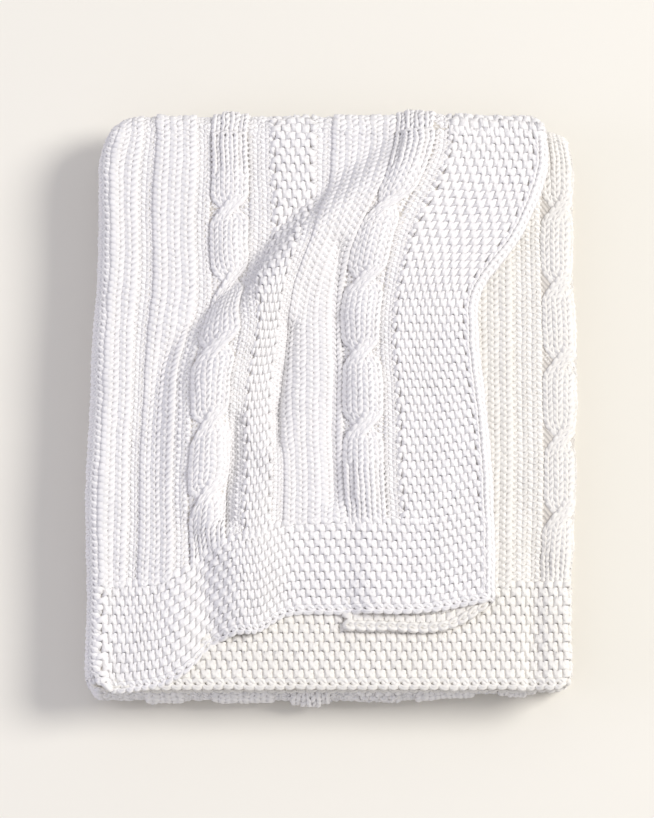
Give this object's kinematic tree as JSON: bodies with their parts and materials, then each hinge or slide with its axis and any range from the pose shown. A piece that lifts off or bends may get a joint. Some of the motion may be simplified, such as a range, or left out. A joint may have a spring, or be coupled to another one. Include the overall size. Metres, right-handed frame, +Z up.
{
  "type": "folded throw blanket",
  "caption": "Chunky cable-knit throw, folded in thirds both ways into a flat stack, with garter-stitch hems at the front and a soft ridge across the top leaf.",
  "frame": {"origin": "middle of the footprint, on the surface that the folded throw lies on", "axes": "+X to the right, +Y away from the front fold and the visible hems, +Z up"},
  "size_m": [0.4052, 0.4998, 0.0701],
  "materials": {
    "cable_knit": "matt cotton yarn, cable and rib knit",
    "garter_band": "matt cotton yarn, garter stitch"
  },
  "bodies": {
    "bottom_third": {"bottom_centre_leaf": "cable_knit", "bottom_right_leaf": "cable_knit", "bottom_tucked_margin": "cable_knit", "bottom_left_leaf": "cable_knit", "bottom_centre_border": "garter_band", "bottom_right_border": "garter_band", "bottom_margin_border": "garter_band", "bottom_left_border": "garter_band", "bottom_left_fold": "cable_knit", "bottom_right_fold": "cable_knit", "bottom_tuck_fold": "cable_knit", "front_fold_centre_leaf": "cable_knit", "front_fold_right_leaf": "cable_knit", "front_fold_tucked_margin": "cable_knit", "front_fold_left_leaf": "cable_knit"},
    "middle_third": {"middle_centre_leaf": "cable_knit", "middle_right_leaf": "cable_knit", "middle_tucked_margin": "cable_knit", "middle_left_leaf": "cable_knit", "middle_left_fold": "cable_knit", "middle_right_fold": "cable_knit", "middle_tuck_fold": "cable_knit", "back_fold_centre_leaf": "cable_knit", "back_fold_right_leaf": "cable_knit", "back_fold_tucked_margin": "cable_knit", "back_fold_left_leaf": "cable_knit"},
    "top_third": {"top_centre_leaf": "cable_knit", "top_right_leaf": "cable_knit", "top_tucked_margin": "cable_knit", "top_left_leaf": "cable_knit", "top_centre_border": "garter_band", "top_right_border": "garter_band", "top_margin_border": "garter_band", "top_left_border": "garter_band", "top_left_fold": "cable_knit", "top_right_fold": "cable_knit", "top_tuck_fold": "cable_knit"}
  },
  "joints": [
    {"name": "middle_third_unfold", "type": "hinge", "parent": "bottom_third", "child": "middle_third", "pos_m": [0, -0.2292, 0.02065], "axis": [1, 0, 0], "range_deg": [0, 180], "deforming": ["front_fold_centre_leaf", "front_fold_right_leaf", "front_fold_tucked_margin", "front_fold_left_leaf"]},
    {"name": "top_third_unfold", "type": "hinge", "parent": "middle_third", "child": "top_third", "pos_m": [0, 0.2292, 0.04145], "axis": [-1, 0, 0], "range_deg": [0, 180], "deforming": ["back_fold_centre_leaf", "back_fold_right_leaf", "back_fold_tucked_margin", "back_fold_left_leaf"]}
  ]
}
